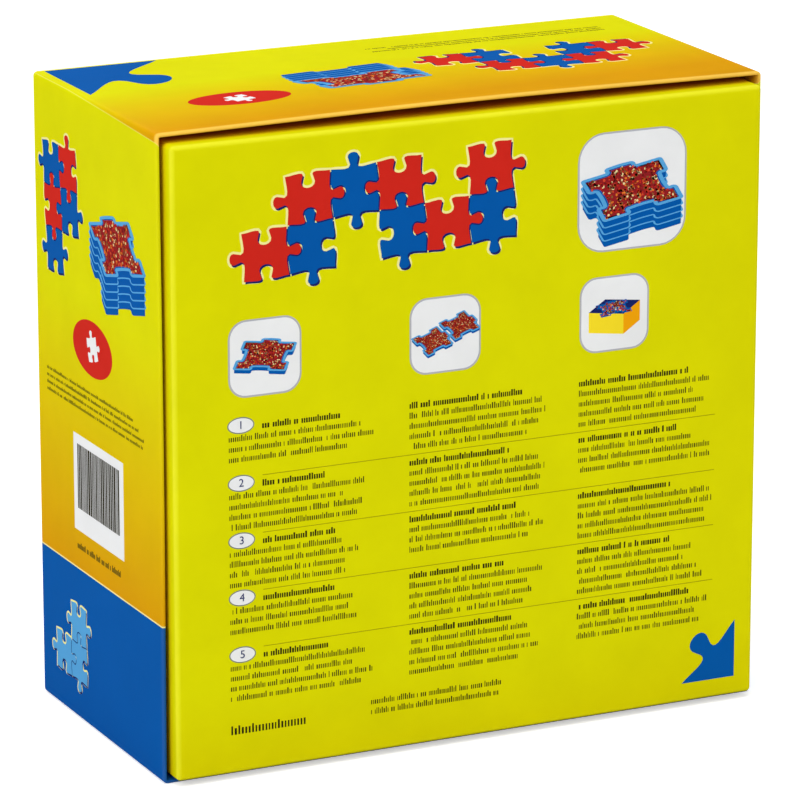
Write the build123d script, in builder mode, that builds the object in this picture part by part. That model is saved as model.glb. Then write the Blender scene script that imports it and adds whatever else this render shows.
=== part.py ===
from build123d import *
import os

os.makedirs("parts", exist_ok=True)

# Puzzle sorter box: a two-part set-up box of greyboard and printed paper, stood on a narrow side,
# with a stack of jigsaw-shaped sorting trays inside. Millimetres. +X is to the right of the base's
# big panel, +Y runs from that panel to the lid's, +Z is up. The origin is under the box's centre.

# The box
lid_width = 195.0  # across, along X
lid_height = 194.0  # as it stands, along Z
lid_depth = 94.0  # from the lid's rim to its panel, along Y
base_reach = 5.0  # how far the base stands out of the lid's rim
board = 1.1  # greyboard
paper = 0.2  # printed paper with its laminate
turn_in = 16.0  # paper folded over a rim and glued down inside
fold_radius = 1.4  # rounding of the outside folds
rim_radius = 0.5  # rounding of the paper over a board's cut edge
stay_tape = 0.12  # paper tape that holds a board corner together
stay_leg = 12.0  # how far the tape reaches on each side of the corner
lid_play = 1.8  # base in lid, both sides together
rest_gap = 0.3  # air where one thing lies in or against another

# The sorting trays
tray_count = 6
tray_play = 1.0  # tray in base, both sides together
tray_wall = 1.2
tray_floor = 1.2
draft_angle = 1.0  # degrees that the walls lean outwards
bead_out = 0.6  # bead around the rim
bead_height = 2.0
foot_depth = 3.0  # how deep a foot drops into the rim of the tray below it
foot_play = 0.35  # foot in rim, each side
foot_draft = 3.0  # degrees that the foot narrows downwards, so that it finds the rim
stack_gap = 0.2  # shoulder over rim
tab_reach = 20.0  # how far the tab stands out
tab_neck = 60.0
tab_head = 66.0
tab_crown = 3.0  # bulge of the tab's end
mouth_radius = 7.0  # where the tab or a blank leaves its side
head_radius = 6.0  # corners of the tab's end
corner_radius = 4.0  # corners of the tray
link_play = 1.0  # one tray's tab in another's blank, each side
lift_clear = 10.0  # how far a lifted tray or lid ends clear of the base

# What fits follows from those
overall_depth = lid_depth + base_reach
lid_face_y = overall_depth / 2
base_face_y = -overall_depth / 2
wall = paper + board
rim = wall + paper
base_width = lid_width - 2 * rim - lid_play
base_height = lid_height - 2 * rim - lid_play
base_depth = overall_depth - wall - rest_gap
base_underside = rim + rest_gap
base_rim_y = base_face_y + base_depth

tray_width = base_width - 2 * rim - tray_play
tray_body = base_height - 2 * rim - tray_play - tab_reach
tray_underside = base_underside + rim + rest_gap
stack_height = base_depth - wall - 2 * rest_gap
tray_height = (stack_height + (tray_count - 1) * (foot_depth - stack_gap)) / tray_count
tray_pitch = tray_height + stack_gap - foot_depth
first_floor_y = base_face_y + wall + rest_gap
tab_end_radius = 0.6 * (tab_head / 2) ** 2 / tab_crown

lid_plane = Plane((0, lid_face_y, lid_height / 2), x_dir=(1, 0, 0), z_dir=(0, -1, 0))
base_plane = Plane((0, base_face_y, base_underside + base_height / 2), x_dir=(-1, 0, 0), z_dir=(0, 1, 0))


# The two box halves are made alike. Their planes lie on the outside of a panel and face into the box.
def rounded_block(plane, inset, width, height, depth):
    """The outside of a box half, drawn in by the inset on every side, with its folds rounded."""
    with BuildPart(mode=Mode.PRIVATE) as block:
        with BuildSketch(plane.offset(inset)):
            Rectangle(width - 2 * inset, height - 2 * inset)
        extrude(amount=depth - 2 * inset)
        panel = block.faces().sort_by_distance(plane.origin).first
        fillet(panel.edges() + block.edges().filter_by(Axis.Y), fold_radius - inset)
        opening = block.faces().sort_by_distance(plane.offset(depth - inset).origin).first
        fillet(opening.edges(), rim_radius - inset)
    return block.part


def board_blank(plane, width, height, depth):
    """A panel and four walls of greyboard, before the tape is pressed into the corners."""
    with BuildPart(mode=Mode.PRIVATE) as blank:
        add(rounded_block(plane, paper, width, height, depth))
        with BuildSketch(plane.offset(wall)):
            Rectangle(width - 2 * wall, height - 2 * wall)
        extrude(amount=depth, mode=Mode.SUBTRACT)
    return blank.part


def board_pieces(width, height, depth):
    """Centre and size of each piece of a half's board on its plane, and the depths it lies between."""
    half_across = (width - wall) / 2
    half_up = (height - wall) / 2
    return {
        "panel": (0, 0, width, height, 0, wall),
        "top": (0, half_up, width, wall, wall, depth),
        "bottom": (0, -half_up, width, wall, wall, depth),
        "left": (-half_across, 0, wall, height - 2 * wall, wall, depth),
        "right": (half_across, 0, wall, height - 2 * wall, wall, depth),
    }


def corner_stay(plane, width, height, depth, across, up):
    """Tape folded round one corner of the board, flush with its outside."""
    board_width = width - 2 * paper
    board_height = height - 2 * paper
    board_radius = fold_radius - paper
    start = wall + fold_radius
    end = depth - paper - rim_radius
    with BuildPart(mode=Mode.PRIVATE) as stay:
        with BuildSketch(plane.offset(start)):
            RectangleRounded(board_width, board_height, board_radius)
            RectangleRounded(
                board_width - 2 * stay_tape,
                board_height - 2 * stay_tape,
                board_radius - stay_tape,
                mode=Mode.SUBTRACT,
            )
            with Locations((across * board_width / 2, up * board_height / 2)):
                Rectangle(2 * stay_leg, 2 * stay_leg, mode=Mode.INTERSECT)
        extrude(amount=end - start)
    return stay.part


def printed_wrap(plane, width, height, depth):
    """Paper over the panel and walls, folded over the rim and turned in."""
    with BuildPart(mode=Mode.PRIVATE) as wrap:
        add(rounded_block(plane, 0, width, height, depth))
        with BuildSketch(plane.offset(wall)):
            Rectangle(width - 2 * wall, height - 2 * wall)
        extrude(amount=depth - wall - turn_in, mode=Mode.SUBTRACT)
        with BuildSketch(plane.offset(wall)):
            Rectangle(width - 2 * rim, height - 2 * rim)
        extrude(amount=depth, mode=Mode.SUBTRACT)
        add(board_blank(plane, width, height, depth), mode=Mode.SUBTRACT)
    return wrap.part


corners = {"top_left": (-1, 1), "top_right": (1, 1), "bottom_left": (-1, -1), "bottom_right": (1, -1)}
halves = {
    "lid": (lid_plane, lid_width, lid_height, lid_depth),
    "base": (base_plane, base_width, base_height, base_depth),
}

for half, (plane, width, height, depth) in halves.items():
    stays = []
    for corner, (side, up) in corners.items():
        with BuildPart() as stay:
            add(corner_stay(plane, width, height, depth, side * plane.x_dir.X, up))
        stay.part.label = f"{half}_corner_stay_{corner}"
        export_step(stay.part, f"parts/{stay.part.label}.step")
        stays.append(stay.part)

    with BuildPart(mode=Mode.PRIVATE) as board_shell:
        add(board_blank(plane, width, height, depth))
        add(stays, mode=Mode.SUBTRACT)
    for name, (side, up, piece_width, piece_height, start, end) in board_pieces(width, height, depth).items():
        with BuildPart() as piece:
            add(board_shell.part)
            with BuildSketch(plane.offset(start)):
                with Locations((side * plane.x_dir.X, up)):
                    Rectangle(piece_width, piece_height)
            extrude(amount=end - start, mode=Mode.INTERSECT)
        piece.part.label = f"{half}_board_{name}"
        export_step(piece.part, f"parts/{piece.part.label}.step")

# The base's paper is kept in one piece. Of the lid's, the part that the box stands on is its own.
with BuildPart() as wrap:
    add(printed_wrap(base_plane, base_width, base_height, base_depth))
wrap.part.label = "base_wrap"
export_step(wrap.part, "parts/base_wrap.step")

for name, side_kept in {"lid_wrap": Keep.TOP, "lid_wrap_lower_flap": Keep.BOTTOM}.items():
    with BuildPart() as wrap:
        add(printed_wrap(lid_plane, lid_width, lid_height, lid_depth))
        split(bisect_by=Plane.XY.offset(rim), keep=side_kept)
    wrap.part.label = name
    export_step(wrap.part, f"parts/{name}.step")


# A side of a tray carries a tab or a blank: distances along the side, and out of it.
def side_points(length, neck, head, reach, crown):
    end = reach - crown
    return [(-length / 2, 0), (-neck / 2, 0), (-head / 2, end), (0, reach), (head / 2, end), (neck / 2, 0)]


def tray_outline(inset):
    """Jigsaw outline of the rim, with its tab upwards, drawn in by the inset."""
    blank = (tab_neck + 2 * link_play, tab_head + 2 * link_play, -tab_reach - link_play, -tab_crown)
    tab = (tab_neck, tab_head, tab_reach, tab_crown)
    sides = [
        (tray_width, tray_body / 2, blank),
        (tray_body, tray_width / 2, blank),
        (tray_width, tray_body / 2, tab),
        (tray_body, tray_width / 2, blank),
    ]
    points = [
        Vector(along, -half - out).rotate(Axis.Z, 90 * turn)
        for turn, (length, half, knob) in enumerate(sides)
        for along, out in side_points(length, *knob)
    ]
    radii = [corner_radius, mouth_radius, head_radius, tab_end_radius, head_radius, mouth_radius] * len(sides)
    with BuildSketch(Plane.XY, mode=Mode.PRIVATE) as outline:
        with BuildLine():
            FilletPolyline(*points, radius=radii, close=True)
        make_face()
        if inset > 0:
            offset(amount=-inset, mode=Mode.REPLACE)
    return outline.sketch


def sorting_tray(floor):
    """One open tray on its floor plane: foot, leaning wall, rim bead and a hollow of even wall."""
    foot_inset = bead_out + tray_wall + foot_play
    shoulder = floor.offset(foot_depth)
    top = floor.offset(tray_height)
    with BuildPart(mode=Mode.PRIVATE) as tray:
        with BuildSketch(top):
            add(tray_outline(bead_out))
        extrude(amount=foot_depth - tray_height, taper=draft_angle)
        with BuildSketch(top):
            add(tray_outline(0))
        extrude(amount=-bead_height)
        with BuildSketch(shoulder):
            add(tray_outline(foot_inset))
        extrude(amount=-foot_depth, taper=foot_draft)
        with BuildSketch(top):
            add(tray_outline(bead_out + tray_wall))
        extrude(amount=foot_depth + tray_floor - tray_height, taper=draft_angle, mode=Mode.SUBTRACT)
        with BuildSketch(shoulder.offset(tray_floor)):
            add(tray_outline(foot_inset + tray_wall))
        extrude(amount=-foot_depth, taper=foot_draft, mode=Mode.SUBTRACT)
    return tray.part


floor_centre = (0, first_floor_y, tray_underside + tray_body / 2)
tray_form = sorting_tray(Plane(floor_centre, x_dir=(-1, 0, 0), z_dir=(0, 1, 0)))

for number in range(1, tray_count + 1):
    step = (number - 1) * tray_pitch
    floor_y = first_floor_y + step
    with BuildPart() as tray:
        add(tray_form.moved(Location((0, step, 0))))
    tray.part.label = f"sorting_tray_{number}"
    export_step(tray.part, f"parts/{tray.part.label}.step")
    print(tray.part.label, "floor", round(floor_y, 3), "lift", round(base_rim_y + lift_clear - floor_y, 1))

print("tray height", round(tray_height, 3), "pitch", round(tray_pitch, 3))
print("tray width", tray_width, "body", tray_body)
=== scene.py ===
import math
import random

import bmesh
import bpy
from mathutils import Matrix, Vector


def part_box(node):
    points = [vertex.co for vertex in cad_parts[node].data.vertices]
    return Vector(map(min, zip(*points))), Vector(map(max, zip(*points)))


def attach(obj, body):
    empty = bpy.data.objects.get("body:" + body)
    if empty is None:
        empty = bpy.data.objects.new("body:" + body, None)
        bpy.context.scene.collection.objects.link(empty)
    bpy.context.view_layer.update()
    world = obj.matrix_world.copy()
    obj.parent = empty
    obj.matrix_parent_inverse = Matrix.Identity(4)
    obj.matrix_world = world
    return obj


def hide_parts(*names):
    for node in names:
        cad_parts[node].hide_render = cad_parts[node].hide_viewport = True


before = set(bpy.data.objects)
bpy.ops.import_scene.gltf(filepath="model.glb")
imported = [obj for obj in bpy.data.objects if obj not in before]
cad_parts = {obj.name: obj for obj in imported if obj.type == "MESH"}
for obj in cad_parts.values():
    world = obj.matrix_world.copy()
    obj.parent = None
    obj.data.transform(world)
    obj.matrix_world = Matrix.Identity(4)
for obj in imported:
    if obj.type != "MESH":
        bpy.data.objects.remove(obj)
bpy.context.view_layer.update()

mm = 0.001
print("frame loaded:", len(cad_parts), "nodes")


def shown(name, data):  # a new object in the scene
    made = bpy.data.objects.new(name, data)
    bpy.context.scene.collection.objects.link(made)
    return made


def aimed(holder, place, ahead):  # cameras and lamps look along their own -Z
    holder.location = place
    holder.rotation_mode = "QUATERNION"
    holder.rotation_quaternion = ahead.to_track_quat("-Z", "Y")


def meshFrom(build, name):
    mesh = bpy.data.meshes.new(name)
    build.to_mesh(mesh)
    build.free()
    return mesh


def feed(tree, socket, value):  # a wire from another node, or a fixed value
    if isinstance(value, bpy.types.Node):
        value = value.outputs[0]
    if isinstance(value, bpy.types.NodeSocket):
        tree.links.new(value, socket)
    elif value is not None:
        socket.default_value = value


def feedAll(tree, node, inputs):
    for name, value in inputs.items():
        feed(tree, node.inputs[name], value)


def nodeIn(tree, kind, inputs=None, family="Shader", **settings):  # one node, with its inputs fed
    made = tree.nodes.new(family + "Node" + kind)
    for name, value in settings.items():
        setattr(made, name, value)
    feedAll(tree, made, inputs or {})
    return made


def meshStep(group, kind, inputs=None, **settings):  # a node that makes or changes a mesh or a curve
    return nodeIn(group, kind, inputs, "Geometry", **settings)


def maths(tree, operation, first, second=0.0):
    return nodeIn(tree, "Math", {0: first, 1: second}, operation=operation)


def plus(tree, first, second):
    return maths(tree, "ADD", first, second)


def minus(tree, first, second):
    return maths(tree, "SUBTRACT", first, second)


def times(tree, first, second):
    return maths(tree, "MULTIPLY", first, second)


photoCamera = {
    "place": (-0.6669, -1.3958, 0.5291),
    "yaw": 25.52,  # degrees to the right of straight at the base's panel
    "pitch": 15.71,  # degrees down
    "lens": 240.9,
    "sensor": 36.0,
    "nearest": 0.05,
    "farthest": 30.0,
}


def setCamera(settings):
    data = bpy.data.cameras.new("photoCamera")
    data.lens = settings["lens"]
    data.sensor_width = settings["sensor"]
    data.clip_start = settings["nearest"]
    data.clip_end = settings["farthest"]
    yaw, pitch = math.radians(settings["yaw"]), math.radians(settings["pitch"])
    ahead = Vector((math.sin(yaw) * math.cos(pitch), math.cos(yaw) * math.cos(pitch), -math.sin(pitch)))
    holder = shown("photoCamera", data)
    aimed(holder, settings["place"], ahead)
    bpy.context.scene.camera = holder


studio = {
    "sky": 0.45,  # even light from all round
    "aim": (0, 0, 0.1),  # what the lamps point at
    "lamps": {  # watts, size in metres and place
        "overhead": (9.0, 1.2, (-0.15, -0.2, 1.5)),
        "frontLeft": (12.8, 1.1, (-1.45, -0.7, 0.95)),
        "frontRight": (5.9, 1.1, (1.0, -1.35, 0.75)),
        "behind": (6.0, 1.1, (0.05, 1.45, 1.0)),  # for the side that the photo leaves out
    },
    "floorRadius": 4.0,
    "floorTone": 0.86,
    "floorGlow": 0.5,  # lifts the floor to white for the camera, and leaves the shadow
}


def emptied(owner):  # the owner's tree, with nothing in it yet
    owner.use_nodes = True
    owner.node_tree.nodes.clear()
    return owner.node_tree


def seenPlainly(tree):  # 1 where the camera sees the spot, also in a gloss or through glass
    path = nodeIn(tree, "LightPath").outputs
    straight = maths(tree, "MAXIMUM", path["Is Camera Ray"], path["Is Glossy Ray"])
    return maths(tree, "MAXIMUM", straight, path["Is Transmission Ray"])


def setStudio(settings):
    scene = bpy.context.scene
    scene.view_settings.view_transform = "Standard"
    scene.world = bpy.data.worlds.new("studio")
    tree = emptied(scene.world)
    white = (1, 1, 1, 1)
    light = nodeIn(tree, "Background", {"Color": white, "Strength": settings["sky"]})
    plain = nodeIn(tree, "Background", {"Color": white, "Strength": 1.0})
    mixed = nodeIn(tree, "MixShader", {0: seenPlainly(tree), 1: light, 2: plain})
    nodeIn(tree, "OutputWorld", {"Surface": mixed})

    for name, (power, size, place) in settings["lamps"].items():
        data = bpy.data.lights.new(name, "AREA")
        data.shape = "DISK"
        data.energy = power
        data.size = size
        aimed(shown(name, data), place, Vector(settings["aim"]) - Vector(place))

    plate = bmesh.new()
    bmesh.ops.create_circle(plate, cap_ends=True, segments=96, radius=settings["floorRadius"])
    floor = shown("floor", meshFrom(plate, "floor"))
    paint = bpy.data.materials.new("paleFloor")
    tree = emptied(paint)
    tone = settings["floorTone"]
    matt = nodeIn(tree, "BsdfDiffuse", {"Color": (tone, tone, tone, 1)})
    glow = nodeIn(tree, "Emission", {"Strength": times(tree, seenPlainly(tree), settings["floorGlow"])})
    both = nodeIn(tree, "AddShader", {0: matt, 1: glow})
    nodeIn(tree, "OutputMaterial", {"Surface": both})
    floor.data.materials.append(paint)


setCamera(photoCamera)
setStudio(studio)
print("camera, lamps and floor set")


def linear(channel):
    channel = channel / 255
    return channel / 12.92 if channel <= 0.04045 else ((channel + 0.055) / 1.055) ** 2.4


def colour(red, green, blue):  # a printed colour as it looks, 0 to 255
    return (linear(red), linear(green), linear(blue), 1.0)


def newFinish(name):
    finish = bpy.data.materials.new(name)
    finish.use_nodes = True
    return finish, finish.node_tree, finish.node_tree.nodes["Principled BSDF"]


def mixColours(tree, factor, first, second, blend="MIX"):
    made = nodeIn(tree, "Mix", {0: factor}, data_type="RGBA", blend_type=blend)
    below, above = [socket for socket in made.inputs if socket.type == "RGBA"]
    feed(tree, below, first)
    feed(tree, above, second)
    return [socket for socket in made.outputs if socket.type == "RGBA"][0]


def ramp(tree, factor, stops, interpolation="LINEAR"):
    made = nodeIn(tree, "ValToRGB", {0: factor})
    elements = made.color_ramp.elements
    made.color_ramp.interpolation = interpolation
    while len(elements) < len(stops):
        elements.new(0.5)
    for element, (place, value) in zip(elements, stops):
        element.position = place
        element.color = value
    return made


def spread(tree, value, low, high, start=0.0, end=1.0):  # low to high as start to end
    ends = {"From Min": low, "From Max": high, "To Min": start, "To Max": end}
    return nodeIn(tree, "MapRange", {"Value": value, **ends})


def places(tree):  # x, y and z in metres, after all three together
    spot = nodeIn(tree, "TexCoord").outputs["Object"]
    return spot, *nodeIn(tree, "SeparateXYZ", {0: spot}).outputs


def painted(tree, name):  # what the mesh says of each of its points
    return nodeIn(tree, "Attribute", attribute_name=name).outputs["Fac"]


def mottle(tree, spot, scale, detail=3.0, roughness=0.55):
    grain = {"Vector": spot, "Scale": scale, "Detail": detail, "Roughness": roughness}
    return nodeIn(tree, "TexNoise", grain)


def bump(tree, height, strength, distance, normal=None):
    relief = {"Height": height, "Strength": strength, "Distance": distance, "Normal": normal}
    return nodeIn(tree, "Bump", relief)


laminate = {
    "filmWeight": 0.03,
    "filmRoughness": 0.26,
    "paperRoughness": 0.8,
    "peelSize": 620.0,  # cells per metre of the film's orange peel
    "peelShare": 0.05,
    "peelDepth": 0.0002,
    "swellSize": 26.0,  # slow waves of paper glued over board
    "swellShare": 0.22,
    "swellDepth": 0.0012,
    "toneSize": 55.0,
    "toneShare": 0.03,  # how far the ink's tone wanders
}


def laminated(tree, shader, spot, tint):  # printed paper under clear film
    look = laminate
    drift = spread(tree, mottle(tree, spot, look["toneSize"]), 0.3, 0.7)
    shade = spread(tree, drift, 0.0, 1.0, 1.0 - look["toneShare"], 1.0 + look["toneShare"])
    grey = nodeIn(tree, "CombineColor", {channel: shade for channel in range(3)})
    peel = bump(tree, mottle(tree, spot, look["peelSize"], 1.5), look["peelShare"], look["peelDepth"])
    swell = mottle(tree, spot, look["swellSize"], 1.0)
    relief = bump(tree, swell, look["swellShare"], look["swellDepth"], peel)
    feedAll(tree, shader, {
        "Base Color": mixColours(tree, 1.0, tint, grey, "MULTIPLY"),
        "Specular IOR Level": 0.0,
        "Roughness": look["paperRoughness"],
        "Coat Weight": look["filmWeight"],
        "Coat Roughness": look["filmRoughness"],
        "Normal": relief,
        "Coat Normal": relief,
    })


def inkFinish(name, tint):  # a flat ink under the film
    finish, tree, shader = newFinish(name)
    laminated(tree, shader, places(tree)[0], tint)
    return finish


bitTones = {  # of loose puzzle pieces, and where each starts on a scale from 0 to 1
    0.0: colour(186, 40, 28),
    0.28: colour(112, 26, 24),
    0.46: colour(222, 116, 40),
    0.62: colour(232, 208, 150),
    0.76: colour(140, 84, 46),
    0.9: colour(206, 70, 44),
}


def bitFinish():
    finish, tree, shader = newFinish("bitsInk")
    tint = ramp(tree, painted(tree, "tone"), list(bitTones.items()), "CONSTANT")
    laminated(tree, shader, places(tree)[0], tint)
    return finish


# The two halves of the box: each a board shell under a paper one
box = {
    "board": 1.1 * mm,
    "paper": 0.2 * mm,
    "turnIn": 16 * mm,
    "foldRadius": 1.4 * mm,
    "rimRadius": 0.5 * mm,
    "lipRadius": 0.25 * mm,
    "pressed": 0.45 * mm,  # how much thinner a wall is at its rim, where the paper is drawn tight
    "panelEdge": 6 * mm,  # how far in from the outside a panel's flat middle starts
    "sideSteps": 40,
    "cornerSteps": 5,
    "foldSteps": 7,
    # how strongly the fold, rim and lip are marked for lightening: wear, and a painted highlight
    "foldWear": 1.0,
    "rimWear": 1.2,
    "lipWear": 0.7,
    "wrapSharpest": 0.04 * mm,  # the least rounding of a corner
    "boardSharpest": 0.03 * mm,
    "sharpFrom": math.radians(50),
    "bows": {"top": 0.95 * mm, "left": -0.3 * mm, "right": -0.4 * mm},  # how far the lid's walls bow out
    "bowDown": 1.4,  # powers that shape the bows, from panel to rim and along the wall
    "bowAlong": 1.3,
}
wall = box["board"] + box["paper"]
rim = wall + box["paper"]


def nodesLike(start):
    return [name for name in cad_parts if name.startswith(start)]


halves = {}
for half, inward in (("lid", -1), ("base", 1)):
    corners = [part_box(name) for name in nodesLike(half + "_wrap")]
    lo = Vector([min(low[i] for low, high in corners) for i in range(3)])
    hi = Vector([max(high[i] for low, high in corners) for i in range(3)])
    halves[half] = {
        "lo": lo,
        "hi": hi,
        "inward": inward,  # the way from the panel to the rim, along Y
        "panel": hi.y if inward < 0 else lo.y,
        "depth": hi.y - lo.y,
    }


def bowed(half, point):  # the lid's walls bow between their taped corners, most at the rim
    if half != "lid":
        return point
    lo, hi = halves["lid"]["lo"], halves["lid"]["hi"]

    def along(value, start, end):
        return min(max((value - start) / (end - start), 0.0), 1.0)

    def arch(value, start, end):
        return max(math.sin(math.pi * along(value, start, end)), 0.0) ** box["bowAlong"]

    bows, near, moved = box["bows"], 3 * mm, point.copy()
    down = along(point.y, hi.y, lo.y) ** box["bowDown"]
    across, up = arch(point.x, lo.x, hi.x), arch(point.z, lo.z, hi.z)
    if hi.z - point.z < near:
        moved.z += bows["top"] * across * down
    if point.x - lo.x < near:
        moved.x -= bows["left"] * up * down
    if hi.x - point.x < near:
        moved.x += bows["right"] * up * down
    return moved


def arc(centre, radius, start, end, steps):  # from one angle in degrees to another
    angles = [math.radians(start + (end - start) * k / steps) for k in range(steps + 1)]
    a, b = centre
    return [(a + radius * math.cos(angle), b + radius * math.sin(angle)) for angle in angles]


def roundedCorners(a, b, across, up, radius, steps):  # of a rectangle about a middle, anticlockwise
    turns = [(1, -1, -90), (1, 1, 0), (-1, 1, 90), (-1, -1, 180)]
    return [arc((a + signA * (across - radius), b + signB * (up - radius)), radius, start, start + 90, steps)
            for signA, signB, start in turns]


def outline(size, inset, radius):  # once round a half, drawn in by the inset: x and z
    lo, hi = size["lo"], size["hi"]
    across, up = (hi.x - lo.x) / 2 - inset, (hi.z - lo.z) / 2 - inset
    arcs = roundedCorners((lo.x + hi.x) / 2, (lo.z + hi.z) / 2, across, up, radius, box["cornerSteps"])
    steps = box["sideSteps"]
    points = []
    for here, after in zip(arcs, arcs[1:] + arcs[:1]):
        (x, z), (endX, endZ) = here[-1], after[0]
        points += here
        points += [(x + (endX - x) * k / steps, z + (endZ - z) * k / steps) for k in range(1, steps)]
    return points


# A profile is a row of loops from the outside to the inside: each loop's inset, depth and its mark for wear
# and a painted highlight.
def straight(inset, start, end, count):
    return [(inset, start + (end - start) * k / count, 0.0) for k in range(count + 1)]


def bend(centre, radius, start, end, steps, worn=0.0):
    return [(inset, depth, worn) for inset, depth in arc(centre, radius, start, end, steps)]


def wrapProfile(depth):  # printed paper: over the panel, the wall and the rim, then turned in
    fold, edge, lip, paper, pressed = [box[name] for name in
                                       ("foldRadius", "rimRadius", "lipRadius", "paper", "pressed")]
    turnIn = depth - box["turnIn"]
    corner = bend((fold, fold), fold, 270, 180, box["foldSteps"], box["foldWear"])
    corner[0], corner[-1] = (*corner[0][:2], 0.3), (*corner[-1][:2], 0.3)
    return [
        (box["panelEdge"], 0.0, 0.0),
        (fold + 0.9 * mm, 0.0, 0.0),
        *corner,
        *straight(0.0, fold + 1.2 * mm, depth - edge - 1.2 * mm, 14),
        *bend((edge, depth - edge), edge, 180, 90, 4, box["rimWear"]),
        *bend((rim - lip - pressed, depth - lip), lip, 90, 0, 3, box["lipWear"]),
        *straight(rim, depth - 2 * mm, turnIn, 5),
        (wall + 0.02 * mm, turnIn - 0.03 * mm, 0.6),
        (wall, turnIn + 0.05 * mm, 0.0),
        *straight(wall, turnIn + 3 * mm, depth - 2 * mm, 4),
        (wall - pressed, depth - paper, 0.0),
        (paper, depth - paper, 0.0),
        *straight(paper, depth - 2 * mm, fold, 12),
        *bend((fold, fold), fold - paper, 180, 270, 3),
        (box["panelEdge"], paper, 0.0),
    ]


def boardProfile(depth):
    fold, skin = box["foldRadius"], box["paper"] + 0.02 * mm
    return [
        (box["panelEdge"], skin, 0.0),
        (fold, skin, 0.0),
        *bend((fold, fold), fold - skin, 270, 180, 3)[1:],
        *straight(skin, fold + 2 * mm, depth - skin, 12),
        (wall - 0.1 * mm - box["pressed"], depth - skin, 0.0),
        (wall, depth - 3 * mm, 0.0),
        *straight(wall, depth - box["turnIn"], wall + 1 * mm, 12),
        (wall + 0.1 * mm, wall + 0.15 * mm, 1.0),
        (wall + 0.5 * mm, wall, 1.0),
        (box["panelEdge"], wall, 0.0),
    ]


def shell(name, half, profile, sharpest):
    size = halves[half]
    build = bmesh.new()
    wear = build.verts.layers.float.new("wear")
    loops = []
    for inset, depth, worn in profile:
        loop = []
        for x, z in outline(size, inset, max(box["foldRadius"] - inset, sharpest)):
            vertex = build.verts.new(bowed(half, Vector((x, size["panel"] + size["inward"] * depth, z))))
            vertex[wear] = worn
            loop.append(vertex)
        loops.append(loop)
    for near, far in zip(loops, loops[1:]):
        for k in range(len(near)):
            after = (k + 1) % len(near)
            build.faces.new((near[k], near[after], far[after], far[k]))
    build.faces.new(loops[0])
    build.faces.new(list(reversed(loops[-1])))
    bmesh.ops.recalc_face_normals(build, faces=build.faces)
    mesh = meshFrom(build, name)
    mesh.shade_smooth()
    mesh.set_sharp_from_angle(angle=box["sharpFrom"])
    return shown(name, mesh)


lidPrint = {
    "yellow": colour(214, 212, 2),
    "warm": colour(215, 188, 2),
    "amber": colour(216, 171, 3),
    "orange": colour(212, 150, 3),
    "deep": colour(205, 143, 2),
    "blue": colour(1, 84, 163),
    # the lighter colour of the folds and rim: wear, and a painted highlight
    "worn": colour(255, 236, 130),
    "edge": colour(236, 226, 150),  # pale line where ink meets ink
    "sideStops": [(0.0, "yellow"), (0.42, "yellow"), (0.68, "warm"), (1.0, "orange")],
    "topStops": [(0.0, "yellow"), (0.3, "yellow"), (0.48, "warm"), (0.64, "amber"),
                 (0.82, "orange"), (0.91, "orange"), (0.97, "deep")],
    "sideEnd": 46 * mm,  # height at which the side walls' orange is full
    "topLean": 0.9,  # how much the top's orange gains from left to right
    "topReach": 0.91,
    "blueTop": 48 * mm,  # height of the blue on the side walls
    "blueLine": 0.22 * mm,
    "bleed": 2.6 * mm,  # how far the top's paper shows on the side walls at the rim
    "bleedFrom": 22 * mm,
    "cutLine": 0.16 * mm,
    "cutShare": 0.25,
    # folds and rim lightened: a little wear all round, and a painted highlight along the top, where the
    # light falls
    "brighter": (1.4, 1.45, 1.3, 1.0),
    "wornShare": 0.45,
    "topWear": 0.6,
    "wear": 0.03,
}


def lidPrintAndHighlightFinish(look):
    finish, tree, shader = newFinish("lidPrint")
    lo, hi = halves["lid"]["lo"], halves["lid"]["hi"]
    spot, x, y, z = places(tree)

    def blended(factor, stops):
        return ramp(tree, factor, [(at, look[tint]) for at, tint in look[stops]])

    fromBottom, fromPanel = minus(tree, z, lo.z), minus(tree, hi.y, y)
    fromSide = maths(tree, "MINIMUM", minus(tree, x, lo.x), minus(tree, hi.x, x))

    # towards the rim, the top's own paper reaches over the folds to the side walls
    overFold = plus(tree, times(tree, spread(tree, y, look["bleedFrom"], lo.y), look["bleed"]), fromSide)
    level = maths(tree, "MINIMUM", overFold, maths(tree, "MINIMUM", fromBottom, fromPanel))
    seam = minus(tree, minus(tree, hi.z, z), level)
    isTop = maths(tree, "LESS_THAN", seam, 0.0)
    side = blended(spread(tree, z, hi.z, look["sideEnd"]), "sideStops")
    drift = plus(tree, spread(tree, y, hi.y, lo.y), times(tree, x, look["topLean"]))
    top = blended(times(tree, drift, look["topReach"]), "topStops")

    overBlue = minus(tree, z, look["blueTop"])
    isLine = maths(tree, "LESS_THAN", maths(tree, "ABSOLUTE", overBlue), look["blueLine"])
    printed = mixColours(tree, maths(tree, "LESS_THAN", overBlue, 0.0), side, look["blue"])
    printed = mixColours(tree, isLine, printed, look["edge"])
    printed = mixColours(tree, isTop, printed, top)
    cut = maths(tree, "LESS_THAN", maths(tree, "ABSOLUTE", seam), look["cutLine"])
    printed = mixColours(tree, times(tree, cut, look["cutShare"]), printed, look["edge"])
    # painted highlight on the folds and rim, strongest on the top, over a little wear
    lighter = mixColours(tree, 1.0, printed, look["brighter"], "MULTIPLY")
    lighter = mixColours(tree, look["wornShare"], lighter, look["worn"])
    share = plus(tree, times(tree, isTop, look["topWear"]), look["wear"])
    worn = mixColours(tree, times(tree, painted(tree, "wear"), share), printed, lighter)
    laminated(tree, shader, spot, worn)
    return finish


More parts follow.
